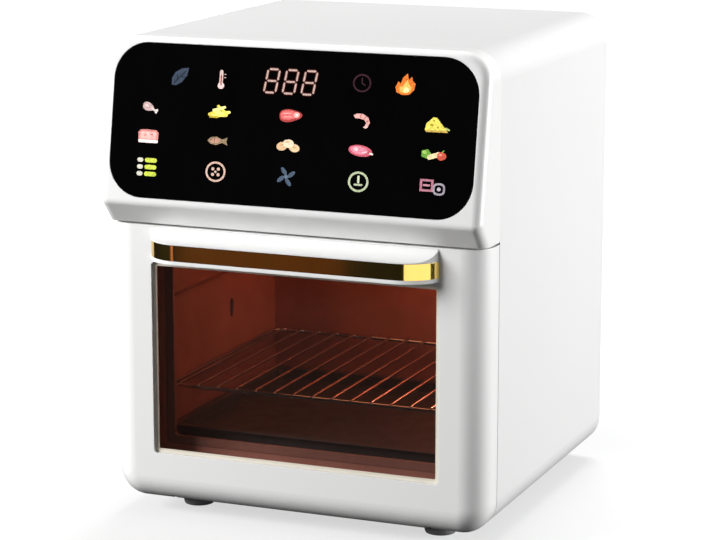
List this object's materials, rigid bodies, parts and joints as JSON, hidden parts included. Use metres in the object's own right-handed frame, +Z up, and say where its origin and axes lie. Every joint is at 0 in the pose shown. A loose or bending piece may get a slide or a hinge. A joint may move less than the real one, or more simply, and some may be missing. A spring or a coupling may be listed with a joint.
{
  "type": "air fryer oven",
  "caption": "Countertop air fryer oven with a leaning touch panel head and a bottom-hinged glass door with a ledge handle.",
  "frame": {"origin": "centre of the footprint, on the surface that the feet stand on", "axes": "+Z up, -Y out of the door, +X to the right as seen from the front"},
  "size_m": [0.31, 0.314, 0.378],
  "materials": {
    "white_steel": "gloss white powder coat",
    "white_plastic": "gloss white",
    "black_glass": "deep gloss black",
    "clear_glass": "clear",
    "gold": "mirror plated gold",
    "trim": "satin",
    "liner": "warm grey enamelled",
    "steel": "plain",
    "zinc": "zinc plated",
    "chrome": "bright wire",
    "dark_metal": "dark enamel",
    "rubber": "matt",
    "silicone": "matt",
    "black_plastic": "matt",
    "board": "lacquered board",
    "ceramic": "glazed",
    "bronze": "sintered",
    "alloy": "stamped",
    "magnet": "sintered"
  },
  "bodies": {
    "housing": {"outer_wrap": "white_steel", "base_pan": "zinc", "rubber_feet": "rubber", "housing_screws": "zinc", "rear_panel": "zinc", "exhaust_grille": "black_plastic", "cord_bushing": "black_plastic", "terminal_block": "white_plastic", "front_frame": "white_plastic", "door_magnets": "magnet", "door_switch": "black_plastic", "oven_cavity": "liner", "rack_rails": "liner", "spit_support": "steel", "rotisserie_motor": "steel", "lamp_lens": "clear_glass", "lamp_housing": "steel", "lamp_bulb": "clear_glass", "temperature_probe": "steel", "fan_guard": "steel", "guard_screws": "zinc", "heater_housing": "steel", "heater_coil": "dark_metal", "heater_terminals": "ceramic", "heater_clips": "steel", "heat_shield": "zinc", "motor_bracket": "zinc", "fan_motor": "steel", "motor_bushes": "bronze", "power_board": "board", "power_standoffs": "black_plastic", "thermal_cutout": "ceramic", "control_head": "white_plastic", "panel_glass": "black_glass", "touch_board": "board", "board_screws": "zinc", "touch_pads": "silicone", "display_module": "black_plastic", "ribbon_cable": "silicone", "hinge_brackets": "steel", "hinge_pins": "steel"},
    "door": {"door_frame": "white_plastic", "outer_glass": "clear_glass", "window_trim": "trim", "inner_plate": "liner", "inner_glass": "clear_glass", "door_seal": "silicone", "door_screws": "zinc", "striker_plates": "steel", "handle_ledge": "white_plastic", "handle_strip": "gold", "hinge_bushes": "bronze"},
    "fan_rotor": {"motor_shaft": "steel", "hot_fan": "alloy", "cooling_fan": "alloy", "fan_nut": "zinc"},
    "rotisserie_drive": {"drive_socket": "steel"},
    "rack": {"wire_rack": "chrome"},
    "tray": {"drip_tray": "dark_metal"},
    "door_plunger": {"switch_plunger": "black_plastic"}
  },
  "joints": [
    {"name": "door_hinge", "type": "hinge", "parent": "housing", "child": "door", "pos_m": [0, -0.1234, 0.0266], "axis": [1, 0, 0], "range_deg": [0, 85]},
    {"name": "fan_spin", "type": "hinge", "parent": "housing", "child": "fan_rotor", "pos_m": [0, 0.0035, 0.3], "axis": [0, 0, 1], "continuous": true},
    {"name": "spit_drive_spin", "type": "hinge", "parent": "housing", "child": "rotisserie_drive", "pos_m": [0.126, 0.024, 0.134], "axis": [1, 0, 0], "continuous": true},
    {"name": "rack_slide", "type": "slide", "parent": "housing", "child": "rack", "axis": [0, -1, 0], "range_m": [0, 0.1233]},
    {"name": "tray_slide", "type": "slide", "parent": "housing", "child": "tray", "axis": [0, -1, 0], "range_m": [0, 0.064]},
    {"name": "door_switch_travel", "type": "slide", "parent": "housing", "child": "door_plunger", "axis": [0, -1, 0], "range_m": [0, 0.003]}
  ],
  "couplings": [
    {"joint": "rack_slide", "follows": "door_hinge", "m_per_rad": 0.083},
    {"joint": "tray_slide", "follows": "door_hinge", "m_per_rad": 0.043},
    {"joint": "door_switch_travel", "follows": "door_hinge", "m_per_rad": 0.002}
  ]
}
